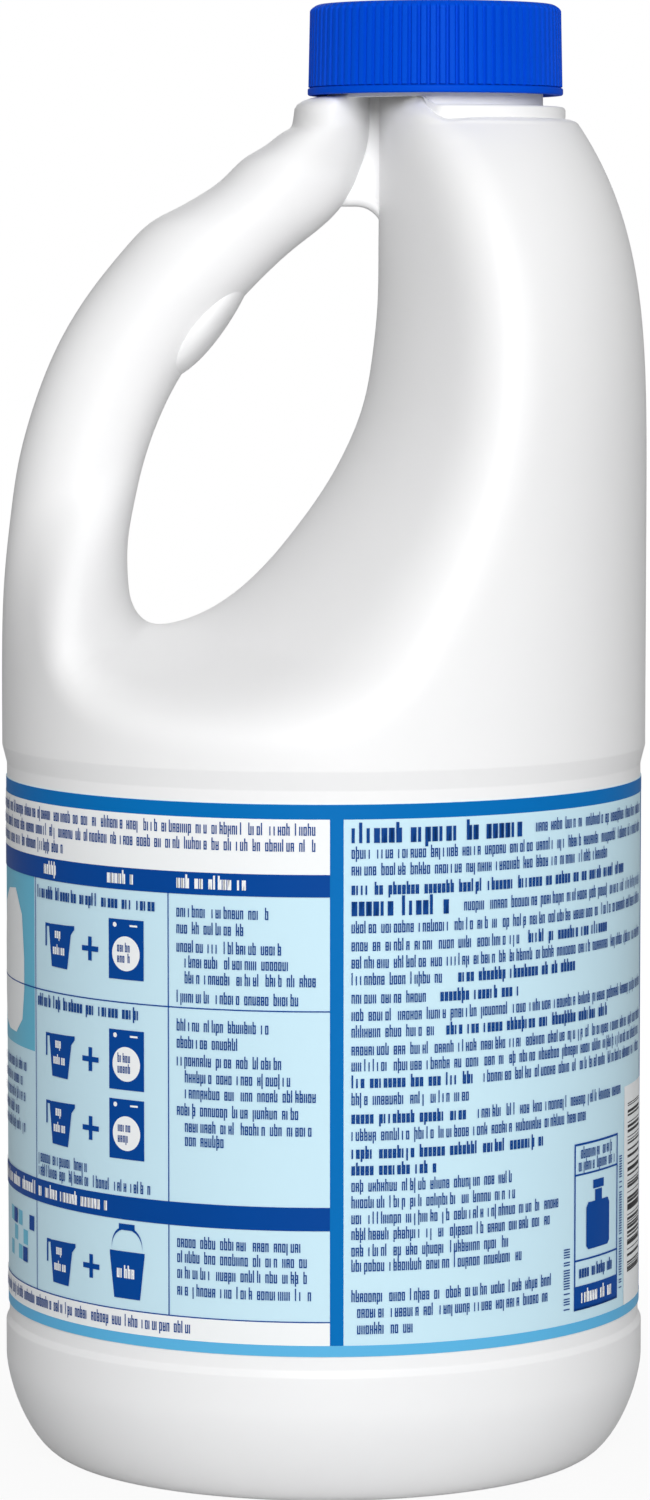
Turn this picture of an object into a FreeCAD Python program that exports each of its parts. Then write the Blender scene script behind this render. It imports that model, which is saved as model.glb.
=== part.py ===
import FreeCAD, Part
import math
import os
import Sketcher
from FreeCAD import Placement, Rotation, Vector

# Bleach bottle with a grip handle: bottle, label, screw cap and cap liner.
# Millimetres. +Z is up, +X points away from the handle, the origin is the middle of the base.

doc = FreeCAD.newDocument("bleach_bottle")
sheet = doc.addObject("Spreadsheet::Sheet", "sizes")

# Driving dimensions: alias, value, what it is
SIZES = [
    ("body_radius", 52.6, "outer radius of the round body above the label"),
    ("wall", 1.0, "wall thickness of the blown bottle"),
    ("base_radius", 52.4, "outer radius of the bulge under the label"),
    ("foot_radius", 43.0, "middle radius of the standing ring"),
    ("foot_width", 3.0, "flat width of the standing ring"),
    ("base_corner", 15.6, "height of the rounded corner above the floor"),
    ("corner_fullness", 0.371, "how full the base corner is, 0.552 would be an ellipse"),
    ("push_up", 4.5, "height of the hollow under the base"),
    ("panel_radius", 51.85, "outer radius of the recessed label panel"),
    ("panel_low", 22.0, "height where the label panel starts"),
    ("panel_high", 113.3, "height where the label panel ends"),
    ("panel_ramp", 2.7, "height of the ramp above the label panel"),
    ("foot_ramp", 0.6, "height of the ramp under the label panel"),
    ("label_film", 0.15, "thickness of the label film"),
    ("label_low", 24.5, "height of the label's lower edge"),
    ("label_tall", 86.65, "height of the label"),
    ("shoulder_low", 150.0, "height where the shoulder begins to close in"),
    ("shoulder_high", 216.5, "height of the shoulder's top, under the collar"),
    ("shoulder_run", 11.1, "how far the shoulder closes in on the side away from the handle"),
    ("neck_shift", 18.1, "distance of the neck's axis from the body's axis"),
    ("neck_radius", 17.45, "outer radius of the neck between its threads"),
    ("neck_wall", 2.2, "wall thickness of the neck"),
    ("neck_top", 233.8, "height of the neck's sealing rim"),
    ("collar_radius", 21.1, "outer radius of the collar under the cap"),
    ("collar_top", 219.5, "height of the collar's top face"),
    ("grip_inset", 20.5, "hand opening: distance of its left side from the body's side"),
    ("grip_right", 9.0, "hand opening: x of its right side"),
    ("grip_floor", 135.5, "hand opening: height of its lowest point"),
    ("grip_top", 203.2, "hand opening: height of its highest point"),
    ("flare_side", 24.0, "how far the hollow beside the opening has spread at the flare depth, sideways"),
    ("flare_floor", 16.0, "the same, downwards"),
    ("flare_depth", 50.0, "distance from the mould's parting plane at which the flare is measured"),
    ("flare_power", 1.7, "how the flare grows with that distance"),
    ("crest_round", 9.0, "rounding of the crest where the hollow meets the shoulder"),
    ("handle_width", 19.8, "thickness of the handle in the parting plane"),
    ("handle_depth", 23.0, "thickness of the handle across the parting plane"),
    ("pad_long", 10.5, "finger pad on the handle: half its length"),
    ("pad_thick", 4.6, "finger pad: how far it stands out from its middle"),
    ("pad_deep", 7.0, "finger pad: half its size across the parting plane"),
    ("pad_lean", 37.0, "finger pad: angle from upright, in degrees"),
    ("web_thick", 2.4, "thickness of the pinched web between handle and shoulder"),
    ("web_rim", 1.2, "radius of the rolled rim along the web's lower edge"),
    ("arch_radius", 4.6, "radius of the arch at the top of the hand opening"),
    ("thread_pitch", 4.233, "pitch of the neck's and the cap's thread"),
    ("thread_depth", 1.2, "height of a thread"),
    ("thread_start", 223.8, "height where the middle of the neck's thread starts"),
    ("neck_turns", 1.6, "turns of thread on the neck"),
    ("cap_turns", 1.2, "turns of thread in the cap"),
    ("thread_gap", 0.35, "clearance between a thread's crest and the other piece"),
    ("thread_foot", 2.3, "width of a thread at its foot"),
    ("thread_crest", 0.9, "width of a thread at its crest"),
    ("cap_tall", 14.6, "height of the cap"),
    ("cap_lip_radius", 20.71, "outer radius of the cap's smooth lip"),
    ("cap_lip_tall", 1.1, "height of the cap's smooth lip"),
    ("cap_wall_low", 20.25, "outer radius of the cap's wall between the ribs, above the lip"),
    ("cap_wall_high", 19.95, "outer radius of the cap's wall between the ribs, at the top"),
    ("cap_round", 1.0, "rounding of the cap's top edge"),
    ("rib_count", 84, "number of grip ribs on the cap"),
    ("rib_radius", 20.42, "outer radius of the grip ribs"),
    ("rib_foot", 0.95, "width of a grip rib at its foot"),
    ("rib_crest", 0.45, "width of a grip rib at its crest"),
    ("liner_thick", 1.0, "thickness of the cap's liner"),
    ("liner_gap", 0.3, "clearance around the liner"),
    ("cap_top", 1.2, "thickness of the cap's top"),
    ("neck_cut", 212.0, "height where the bottle's neck block is divided from its shoulder and handle"),
    ("joint_bury", 1.0, "how deep joined pieces reach into each other"),
]
for row, (alias, value, note) in enumerate(SIZES, start=1):
    sheet.set(f"A{row}", note)
    sheet.set(f"B{row}", str(value))
    sheet.setAlias(f"B{row}", alias)
doc.recompute()


def size(alias):
    return float(getattr(sheet, alias))


def bind(obj, **expressions):
    """Ties an object's properties to the sheet; a double underscore in a name stands for a dot."""
    for path, expression in expressions.items():
        obj.setExpression(path.replace("__", "."), expression)


def fuse(name, parts):
    joined = doc.addObject("Part::MultiFuse", name)
    joined.Shapes = parts
    joined.Refine = True
    return joined


def cut(name, base, tool):
    result = doc.addObject("Part::Cut", name)
    result.Base = base
    result.Tool = tool
    return result


def loft(name, sections, ruled=False):
    result = doc.addObject("Part::Loft", name)
    result.Sections = sections
    result.Solid = True
    result.Ruled = ruled
    return result


def wire(name, edges):
    outline = doc.addObject("Part::Feature", name)
    outline.Shape = Part.Wire(edges)
    return outline


def origin_feature(body, role):
    return next(item for item in body.Origin.OriginFeatures if item.Role == role)


def sketch_on(body, name, role):
    sketch = body.newObject("Sketcher::SketchObject", name)
    sketch.AttachmentSupport = [(origin_feature(body, role), "")]
    sketch.MapMode = "FlatFace"
    return sketch


def closed_profile(sketch, corners):
    """A closed outline of straight lines; each corner is a pair of expressions, "0" lies on an axis."""
    count = len(corners)
    angles = [2 * math.pi * i / count for i in range(count)]
    start = [Vector(10 + 5 * math.cos(angle), 10 + 5 * math.sin(angle), 0) for angle in angles]
    for i in range(count):
        sketch.addGeometry(Part.LineSegment(start[i], start[(i + 1) % count]), False)
    for i in range(count):
        sketch.addConstraint(Sketcher.Constraint("Coincident", i, 2, (i + 1) % count, 1))
    for i, pair in enumerate(corners):
        for kind, axis, expression in (("DistanceX", -2, pair[0]), ("DistanceY", -1, pair[1])):
            if expression == "0":
                sketch.addConstraint(Sketcher.Constraint("PointOnObject", i, 1, axis))
            else:
                index = sketch.addConstraint(Sketcher.Constraint(kind, -1, 1, i, 1, 5.0 + i))
                sketch.setExpression(f"Constraints[{index}]", expression)


# Body: a turned outline from the base up to the top of the label panel's ramp

def lower_profile(name, inset):
    """Half section of the lower body, moved inwards by inset."""
    foot_low = size("foot_radius") - size("foot_width") / 2
    foot_high = size("foot_radius") + size("foot_width") / 2
    base = size("base_radius") - inset
    panel = size("panel_radius") - inset
    body = size("body_radius") - inset
    corner = size("base_corner")
    full = size("corner_fullness")
    ramp_top = size("panel_high") + size("panel_ramp")

    def at(radius, height):
        return Vector(radius, 0, height)

    corner_curve = Part.BezierCurve()
    corner_curve.setPoles([
        at(foot_high, inset),
        at(foot_high + full * (base - foot_high), inset),
        at(base, corner - full * (corner - inset)),
        at(base, corner),
    ])
    dome = Part.BezierCurve()
    dome.setPoles([
        at(0, size("push_up") + inset),
        at(foot_low * 0.7, size("push_up") + inset),
        at(foot_low - 2.0, inset + 0.6),
        at(foot_low, inset),
    ])
    corners = [
        at(base, corner),
        at(base, size("panel_low") - size("foot_ramp")),
        at(panel, size("panel_low")),
        at(panel, size("panel_high")),
        at(body, ramp_top),
        at(0, ramp_top),
        at(0, size("push_up") + inset),
    ]
    edges = [dome.toShape(), Part.makeLine(at(foot_low, inset), at(foot_high, inset)), corner_curve.toShape()]
    edges += [Part.makeLine(a, b) for a, b in zip(corners, corners[1:])]
    return wire(name, edges)


def turned(name, profile):
    result = doc.addObject("Part::Revolution", name)
    result.Source = profile
    result.Axis = Vector(0, 0, 1)
    result.Angle = 360
    result.Solid = True
    return result


# Shoulder: circles that close in by the fourth power of the height and shift towards the neck by the third

SHOULDER_STEPS = 7


def shoulder(name, inset):
    circles = []
    ramp_top = "(sizes.panel_high + sizes.panel_ramp)"
    for step in range(-2, SHOULDER_STEPS + 1):
        share = max(step, 0) / SHOULDER_STEPS
        circle = doc.addObject("Part::Circle", f"{name}_ring")
        if step < 0:
            height = f"{ramp_top} + (sizes.shoulder_low - {ramp_top}) * {(step + 2) / 2}"
        else:
            height = f"sizes.shoulder_low + (sizes.shoulder_high - {inset} - sizes.shoulder_low) * {share}"
        shift = f"sizes.neck_shift * {share ** 3}"
        bind(
            circle,
            Radius=f"sizes.body_radius - sizes.shoulder_run * {share ** 4} - {shift} - {inset}",
            Placement__Base__x=shift,
            Placement__Base__z=height,
        )
        circles.append(circle)
    return loft(name, circles)


# Hollow beside the hand opening: its outline in the parting plane, in shares of the opening's width and height

def grip_span():
    """Left side, width, floor and height of the hand opening."""
    left = size("grip_inset") - size("body_radius")
    return left, size("grip_right") - left, size("grip_floor"), size("grip_top") - size("grip_floor")


OPENING_SIDE = [
    (1.0, 1.22), (1.0, 0.95), (0.99, 0.73), (0.94, 0.54), (0.84, 0.39), (0.69, 0.246),
    (0.47, 0.102), (0.30, 0.028), (0.11, 0.0), (-0.1, 0.02), (-0.3, 0.05), (-0.55, 0.08), (-1.1, 0.1),
]
FLARE_STATIONS = (-1.1, -0.8, -0.55, -0.3, -0.12, 0.0, 0.12, 0.3, 0.55, 0.8, 1.1)


def flare_section(name, station, inset):
    """The hollow's outline at one distance from the parting plane, spread by a power of that distance."""
    left, width, floor, tall = grip_span()
    power = size("flare_power")
    spread = abs(station) ** power
    steep = size("flare_side") / size("flare_depth") * power * abs(station) ** (power - 1)
    skin = inset * math.sqrt(1 + steep * steep)
    flat = [(left + u * width, floor + v * tall) for u, v in OPENING_SIDE]
    points = []
    for i, (x, z) in enumerate(flat):
        before = flat[max(i - 1, 0)]
        after = flat[min(i + 1, len(flat) - 1)]
        run = (after[0] - before[0], after[1] - before[1])
        length = math.hypot(*run)
        out = (-run[1] / length, run[0] / length)
        points.append(Vector(
            x + out[0] * (size("flare_side") * spread + skin),
            station * size("flare_depth"),
            z + out[1] * (size("flare_floor") * spread + skin),
        ))
    side = Part.BSplineCurve()
    side.interpolate(points)
    far_low = points[-1]
    near_top = points[0]
    far_top = Vector(far_low.x, far_low.y, near_top.z)
    edges = [side.toShape(), Part.makeLine(far_low, far_top), Part.makeLine(far_top, near_top)]
    return wire(name, edges)


def flare(name, inset):
    sections = [flare_section(f"{name}_outline", station, inset) for station in FLARE_STATIONS]
    return loft(name, sections)


def hollowed_shoulder(name, inset):
    """The shoulder with the hollow cut out of it and the crest between them rounded, moved inwards by inset."""
    expression = "sizes.wall" if inset else "0"
    carved = cut(f"{name}_cut", shoulder(name, expression), flare(f"{name}_hollow", inset))
    doc.recompute()
    above = size("panel_high") + size("panel_ramp") + 1
    edges = [(edge.Length, index) for index, edge in enumerate(carved.Shape.Edges, 1) if edge.BoundBox.ZMin > above]
    rounded = doc.addObject("Part::Fillet", f"{name}_crest")
    rounded.Base = carved
    radius = size("crest_round") - inset
    rounded.Edges = [(max(edges)[1], radius, radius)]
    return rounded


# Handle: ellipses along its middle line. Each row gives the place of the middle in shares of the opening's
# width and height, then the width and the depth in shares of the handle's own.

HANDLE_RINGS = [
    (-0.245, -0.26, 0.98, 2.15),
    (-0.246, -0.05, 1.0, 2.05),
    (-0.243, 0.125, 1.0, 1.7),
    (-0.224, 0.26, 0.99, 1.22),
    (-0.168, 0.43, 0.99, 1.0),
    (-0.073, 0.592, 1.0, 1.0),
    (0.146, 0.805, 0.985, 1.0),
    (0.501, 0.985, 0.865, 0.98),
    (0.766, 1.13, 0.75, 0.92),
    (0.8175, 1.205, 0.64, 0.88),
]


def handle(name, inset, top):
    """The handle's skin, moved inwards by inset; its last ring is level and lies at the height top."""
    left, width, floor, tall = grip_span()
    middle = [(left + u * width, floor + v * tall) for u, v, w, d in HANDLE_RINGS]
    last = (middle[-1][0], top)
    middle.append(last)
    shares = [ring[2:] for ring in HANDLE_RINGS] + [HANDLE_RINGS[-1][2:]]
    rings = []
    for i, (x, z) in enumerate(middle):
        before = middle[max(i - 1, 0)]
        after = middle[min(i + 1, len(middle) - 1)]
        along = Vector(after[0] - before[0], 0, after[1] - before[1]).normalize()
        if i in (0, len(middle) - 1):
            along = Vector(0, 0, 1)
        ring = doc.addObject("Part::Ellipse", f"{name}_ring")
        ring.Placement = Placement(Vector(x, 0, z), Rotation(Vector(0, 1, 0), Vector(), along, "ZXY"))
        bind(
            ring,
            MajorRadius=f"sizes.handle_depth * {shares[i][1] / 2} - {inset}",
            MinorRadius=f"sizes.handle_width * {shares[i][0] / 2} - {inset}",
        )
        rings.append(ring)
    return loft(name, rings)


# Finger pad: a swelling on the inner side of the handle, placed in shares of the opening's width and height

PAD_PLACE = (0.305, 0.72)


def finger_pad():
    left, width, floor, tall = grip_span()
    pad = doc.addObject("Part::Ellipsoid", "finger_pad")
    bind(pad, Radius1="sizes.pad_long", Radius2="sizes.pad_thick", Radius3="sizes.pad_deep")
    pad.Placement = Placement(
        Vector(left + PAD_PLACE[0] * width, 0, floor + PAD_PLACE[1] * tall),
        Rotation(Vector(0, 1, 0), size("pad_lean")),
    )
    return pad


# Web: a pinched plate between the handle's top and the shoulder, with an arch and a rolled rim below

def web():
    half = size("web_thick") / 2
    arch_x = size("grip_right") - size("arch_radius")
    arch_z = size("grip_top") - size("arch_radius")
    low = size("grip_top") - size("arch_radius") * 0.6
    top = size("collar_top") - size("joint_bury")
    corners = [
        Vector(arch_x - 6.5, -half, low + 2.0),
        Vector(arch_x - 3.0, -half, low),
        Vector(size("grip_right") + 2.0, -half, low),
        Vector(size("grip_right") + 2.0, -half, top),
        Vector(arch_x - 2.0, -half, top),
    ]
    plate = doc.addObject("Part::Extrusion", "web_plate")
    plate.Base = wire("web_outline", Part.makePolygon(corners + corners[:1]).Edges)
    plate.Dir = Vector(0, 1, 0)
    plate.Solid = True
    plate.setExpression("LengthFwd", "sizes.web_thick")
    arch = doc.addObject("Part::Cylinder", "web_arch")
    arch.Placement = Placement(Vector(arch_x, -10, arch_z), Rotation(Vector(1, 0, 0), -90))
    bind(arch, Radius="sizes.arch_radius", Height="20")
    rim = doc.addObject("Part::Torus", "web_rim")
    rim.Placement = Placement(Vector(arch_x, 0, arch_z), Rotation(Vector(1, 0, 0), 90))
    rim.Angle3 = 180
    bind(rim, Radius1="sizes.arch_radius + sizes.web_rim * 0.7", Radius2="sizes.web_rim")
    return fuse("web", [cut("web_sheet", plate, arch), rim])


def drum(name, radius, low, high):
    """An upright cylinder on the neck's axis; radius and heights are expressions."""
    result = doc.addObject("Part::Cylinder", name)
    bind(
        result,
        Radius=radius,
        Height=f"({high}) - ({low})",
        Placement__Base__x="sizes.neck_shift",
        Placement__Base__z=low,
    )
    return result


# Thread: a trapezoid swept along a helix on the neck's axis

def thread(name, foot, crest, first, turns):
    """foot and crest are radii, first is the height of the thread's middle at its start."""
    sunk = 0.3 if foot < crest else -0.3
    profile = wire(f"{name}_profile", Part.makePolygon([
        Vector(foot - sunk, 0, -size("thread_foot") / 2),
        Vector(crest, 0, -size("thread_crest") / 2),
        Vector(crest, 0, size("thread_crest") / 2),
        Vector(foot - sunk, 0, size("thread_foot") / 2),
        Vector(foot - sunk, 0, -size("thread_foot") / 2),
    ]).Edges)
    helix = doc.addObject("Part::Helix", f"{name}_helix")
    helix.Radius = min(foot, crest)
    bind(helix, Pitch="sizes.thread_pitch", Height=f"sizes.thread_pitch * {turns}")
    sweep = doc.addObject("Part::Sweep", name)
    sweep.Sections = [profile]
    sweep.Spine = (helix, [])
    sweep.Solid = True
    sweep.Frenet = True
    sweep.Placement = Placement(Vector(size("neck_shift"), 0, first), Rotation())
    return sweep


def bottle():
    top = "sizes.shoulder_high"
    lower = turned("lower_body", lower_profile("lower_outline", 0.0))
    shell = hollowed_shoulder("shoulder", 0.0)
    neck = drum("neck", "sizes.neck_radius", top, "sizes.neck_top")
    collar = drum("collar", "sizes.collar_radius", f"{top} - sizes.joint_bury", "sizes.collar_top")
    grip = handle("handle", "0", size("collar_top"))
    crest = size("neck_radius") + size("thread_depth")
    ridge = thread("neck_thread", size("neck_radius"), crest, size("thread_start"), "sizes.neck_turns")
    outer = fuse("outer", [lower, shell, grip, finger_pad(), collar, neck, ridge, web()])

    wall = size("wall")
    lower_in = turned("lower_room", lower_profile("lower_room_outline", wall))
    shell_in = hollowed_shoulder("shoulder_room", wall)
    grip_in = handle("handle_room", "sizes.wall", size("collar_top") - wall)
    bore_low = f"{top} + sizes.wall"
    bore_radius = "(sizes.neck_radius - sizes.neck_wall)"
    throat = drum("throat", bore_radius, f"{top} - 4 * sizes.joint_bury", f"{bore_low} + sizes.joint_bury / 2")
    throat_open = cut("throat_cut", throat, flare("hollow_throat", wall))
    bore = drum("bore", bore_radius, bore_low, "sizes.neck_top + sizes.joint_bury")
    room = fuse("room", [lower_in, shell_in, grip_in, throat_open, bore])
    return cut("blown_bottle", outer, room)


# The blown bottle is held as four blocks that meet face to face: the round body, the shoulder, the handle and the
# neck. Two cuts are level, the third leans and runs through the hand opening from its floor to the web.

def block(name, low, high):
    """A wide level block between two heights."""
    result = doc.addObject("Part::Box", name)
    half = "sizes.body_radius * 2"
    bind(
        result,
        Length=f"{half} * 2",
        Width=f"{half} * 2",
        Height=f"({high}) - ({low})",
        Placement__Base__x=f"-{half}",
        Placement__Base__y=f"-{half}",
        Placement__Base__z=low,
    )
    return result


LEANING_CUT = ((0.0876, 0.0369), (0.8832, 0.9823))


def handle_side():
    """A wide block on the handle's side of the leaning cut, whose two points are shares of the hand opening."""
    left, width, floor, tall = grip_span()
    foot, head = (Vector(left + u * width, 0, floor + v * tall) for u, v in LEANING_CUT)
    reach = size("body_radius") * 4
    result = doc.addObject("Part::Box", "handle_side")
    bind(result, Length="sizes.body_radius * 4", Width="sizes.body_radius * 4", Height="sizes.body_radius * 8")
    lean = Rotation(Vector(0, 1, 0), math.degrees(math.atan2(head.x - foot.x, head.z - foot.z)))
    result.Placement = Placement(foot + lean.multVec(Vector(-reach, -reach / 2, -reach)), lean)
    return result


def common(name, base, tool):
    result = doc.addObject("Part::MultiCommon", name)
    result.Shapes = [base, tool]
    return result


def bottle_blocks():
    whole = bottle()
    body_top = "sizes.panel_high + sizes.panel_ramp"
    middle = common("upper", whole, block("upper_block", body_top, "sizes.neck_cut"))
    side = handle_side()
    return [
        common("bottle_body", whole, block("body_block", "-sizes.joint_bury", body_top)),
        cut("bottle_shoulder", middle, side),
        common("bottle_handle", middle, side),
        common("bottle_neck", whole, block("neck_block", "sizes.neck_cut", "sizes.neck_top + sizes.joint_bury")),
    ]


# Cap: a turned shell with a smooth lip, grip ribs all round and a thread inside

CAP_LOW = "sizes.neck_top + sizes.liner_thick + sizes.cap_top - sizes.cap_tall"


def cap_shell():
    body = doc.addObject("PartDesign::Body", "cap_shell")
    section = sketch_on(body, "cap_section", "XZ_Plane")
    bore = "sizes.neck_radius + sizes.thread_depth + sizes.thread_gap"
    closed_profile(section, [
        (bore, "0"),
        ("sizes.cap_lip_radius", "0"),
        ("sizes.cap_lip_radius", "sizes.cap_lip_tall"),
        ("sizes.cap_wall_low", "sizes.cap_lip_tall + 0.3"),
        ("sizes.cap_wall_high", "sizes.cap_tall"),
        ("0", "sizes.cap_tall"),
        ("0", "sizes.cap_tall - sizes.cap_top"),
        (bore, "sizes.cap_tall - sizes.cap_top"),
    ])
    shell = body.newObject("PartDesign::Revolution", "cap_turned")
    shell.Profile = section
    shell.ReferenceAxis = (section, ["V_Axis"])
    shell.Angle = 360
    doc.recompute()

    top_edge = next(
        index for index, edge in enumerate(shell.Shape.Edges, start=1)
        if abs(edge.BoundBox.ZMin - size("cap_tall")) < 0.01 and edge.BoundBox.XLength > size("cap_wall_high")
    )
    rounded = body.newObject("PartDesign::Fillet", "cap_rounded")
    rounded.Base = (shell, [f"Edge{top_edge}"])
    rounded.setExpression("Radius", "sizes.cap_round")
    doc.recompute()

    rib_sketch = sketch_on(body, "rib_section", "XY_Plane")
    rib_sketch.setExpression("AttachmentOffset.Base.z", "sizes.cap_lip_tall + 0.3")
    root = "sizes.cap_wall_high - 0.5"
    closed_profile(rib_sketch, [
        (root, "-sizes.rib_foot / 2"),
        ("sizes.rib_radius", "-sizes.rib_crest / 2"),
        ("sizes.rib_radius", "sizes.rib_crest / 2"),
        (root, "sizes.rib_foot / 2"),
    ])
    rib = body.newObject("PartDesign::Pad", "cap_rib")
    rib.Profile = rib_sketch
    rib.setExpression("Length", "sizes.cap_tall - sizes.cap_lip_tall - 0.3 - sizes.cap_round")
    ribs = body.newObject("PartDesign::PolarPattern", "cap_ribs")
    ribs.Originals = [rib]
    ribs.Axis = (origin_feature(body, "Z_Axis"), [""])
    ribs.Angle = 360
    ribs.setExpression("Occurrences", "sizes.rib_count")
    body.Tip = ribs
    bind(body, Placement__Base__x="sizes.neck_shift", Placement__Base__z=CAP_LOW)
    return body


def cap():
    bore = size("neck_radius") + size("thread_depth") + size("thread_gap")
    crest = size("neck_radius") + size("thread_gap")
    first = size("thread_start") + size("thread_pitch") / 2
    ridge = thread("cap_thread", bore, crest, first, "sizes.cap_turns")
    return fuse("cap", [cap_shell(), ridge])


# Liner: a soft disc that seals on the neck's rim

def cap_liner():
    body = doc.addObject("PartDesign::Body", "cap_liner")
    outline = sketch_on(body, "liner_outline", "XY_Plane")
    outline.addGeometry(Part.Circle(Vector(0, 0, 0), Vector(0, 0, 1), 18.0), False)
    outline.addConstraint(Sketcher.Constraint("Coincident", 0, 3, -1, 1))
    radius = outline.addConstraint(Sketcher.Constraint("Radius", 0, 18.0))
    outline.setExpression(
        f"Constraints[{radius}]",
        "sizes.neck_radius + sizes.thread_depth + sizes.thread_gap - sizes.liner_gap",
    )
    disc = body.newObject("PartDesign::Pad", "liner_disc")
    disc.Profile = outline
    disc.setExpression("Length", "sizes.liner_thick")
    bind(body, Placement__Base__x="sizes.neck_shift", Placement__Base__z="sizes.neck_top")
    return body


# Label: a film sleeve wrapped round the recessed panel

def label():
    body = doc.addObject("PartDesign::Body", "label")
    outline = sketch_on(body, "label_outline", "XY_Plane")
    for index, expression in enumerate(("sizes.panel_radius", "sizes.panel_radius + sizes.label_film")):
        outline.addGeometry(Part.Circle(Vector(0, 0, 0), Vector(0, 0, 1), 50.0 + index), False)
        outline.addConstraint(Sketcher.Constraint("Coincident", index, 3, -1, 1))
        radius = outline.addConstraint(Sketcher.Constraint("Radius", index, 50.0 + index))
        outline.setExpression(f"Constraints[{radius}]", expression)
    film = body.newObject("PartDesign::Pad", "label_film")
    film.Profile = outline
    film.setExpression("Length", "sizes.label_tall")
    bind(body, Placement__Base__z="sizes.label_low")
    return body


nodes = bottle_blocks() + [cap(), cap_liner(), label()]
NODE_NAMES = ("bottle_body", "bottle_shoulder", "bottle_handle", "bottle_neck", "cap", "cap_liner", "label")
for node, name in zip(nodes, NODE_NAMES):
    node.Label = name
doc.recompute()

for item in doc.Objects:
    if "Invalid" in item.State or "Error" in item.State:
        raise RuntimeError(f"{item.Name} failed: {item.State}")
for node in nodes:
    shape = node.Shape
    if shape.isNull() or not shape.isValid() or len(shape.Solids) != 1:
        raise RuntimeError(f"{node.Label}: null, not valid or not one solid")
    box = shape.BoundBox
    print(node.Label, f"{shape.Volume:.0f} mm3", f"z {box.ZMin:.2f} to {box.ZMax:.2f}")

os.makedirs("parts", exist_ok=True)
for node in nodes:
    node.Shape.exportStep(f"parts/{node.Label}.step")
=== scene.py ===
import math

import bmesh
import bpy
import numpy as np
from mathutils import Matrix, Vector


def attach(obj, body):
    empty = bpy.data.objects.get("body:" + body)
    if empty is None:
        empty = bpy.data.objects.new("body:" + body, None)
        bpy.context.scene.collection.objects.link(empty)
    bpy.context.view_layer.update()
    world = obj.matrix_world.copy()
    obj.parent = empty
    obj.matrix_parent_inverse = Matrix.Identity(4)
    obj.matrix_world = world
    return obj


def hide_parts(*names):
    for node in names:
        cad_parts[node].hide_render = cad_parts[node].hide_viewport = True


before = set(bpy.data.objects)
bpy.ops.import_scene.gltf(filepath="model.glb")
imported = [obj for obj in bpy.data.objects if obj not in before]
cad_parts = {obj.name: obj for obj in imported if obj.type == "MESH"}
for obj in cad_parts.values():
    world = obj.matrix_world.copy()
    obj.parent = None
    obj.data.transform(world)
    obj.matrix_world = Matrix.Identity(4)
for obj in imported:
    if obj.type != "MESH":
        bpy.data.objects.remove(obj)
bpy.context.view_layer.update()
mm = 0.001


# Camera: standing height of the bottle's middle, tipped slightly down, with a long lens
cameraView = {
    "distance": 0.8909,    # metres from the bottle's axis
    "height": 0.1962,
    "pitch": 5.237,        # degrees below level
    "wide": 650,           # the photograph in pixels, in which the next three values are given too
    "tall": 1500,
    "focal": 5457.0,
    "middle": 323.7,       # the body's axis, from the left
    "lower": 2.0,          # how far the picture's middle lies below the lens's axis
    "sensor": 36.0,
}


def makeCamera(view):
    data = bpy.data.cameras.new("camera")
    data.sensor_width = view["sensor"]
    data.lens = view["sensor"] * view["focal"] / view["tall"]
    data.shift_x = (view["wide"] / 2 - view["middle"]) / view["tall"]
    data.shift_y = view["lower"] / view["tall"]
    data.clip_start = 0.05
    camera = bpy.data.objects.new("camera", data)
    camera.location = (0, -view["distance"], view["height"])
    camera.rotation_euler = (math.radians(90 - view["pitch"]), 0, 0)
    bpy.context.scene.collection.objects.link(camera)
    bpy.context.scene.camera = camera


makeCamera(cameraView)
print("camera set")


# Mesh tools

def gridQuads(rows, columns, wrapRows=False, wrapColumns=False):
    # corner numbers of the quads of a rows x columns grid; a wrapped direction closes on itself
    i, j = np.meshgrid(
        np.arange(rows if wrapRows else rows - 1),
        np.arange(columns if wrapColumns else columns - 1),
        indexing="ij",
    )
    nextRow = (i + 1) % rows
    nextColumn = (j + 1) % columns
    here, ahead = i * columns, nextRow * columns
    return np.stack([here + j, ahead + j, ahead + nextColumn, here + nextColumn], axis=-1).reshape(-1, 4)


def makePiece(name, parts, merge=1e-6, sharp=40, outward=True):
    # parts are pairs of points, in metres, and quads; points nearer than merge become one
    points = np.concatenate([p.reshape(-1, 3) for p, q in parts])
    starts = np.cumsum([0] + [p.reshape(-1, 3).shape[0] for p, q in parts])
    quads = np.concatenate([q + start for (p, q), start in zip(parts, starts)])
    mesh = bpy.data.meshes.new(name)
    mesh.vertices.add(len(points))
    mesh.vertices.foreach_set("co", points.astype(np.float32).ravel())
    mesh.loops.add(quads.size)
    mesh.loops.foreach_set("vertex_index", quads.astype(np.int32).ravel())
    mesh.polygons.add(len(quads))
    mesh.polygons.foreach_set("loop_start", np.arange(0, quads.size, 4, dtype=np.int32))
    mesh.update(calc_edges=True)
    work = bmesh.new()
    work.from_mesh(mesh)
    bmesh.ops.remove_doubles(work, verts=work.verts, dist=merge)
    if outward:
        bmesh.ops.recalc_face_normals(work, faces=work.faces)
        if work.calc_volume(signed=True) < 0:
            bmesh.ops.reverse_faces(work, faces=work.faces)
    work.to_mesh(mesh)
    work.free()
    mesh.polygons.foreach_set("use_smooth", np.ones(len(mesh.polygons), dtype=bool))
    mesh.set_sharp_from_angle(angle=math.radians(sharp))
    piece = bpy.data.objects.new(name, mesh)
    bpy.context.scene.collection.objects.link(piece)
    return piece


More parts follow.
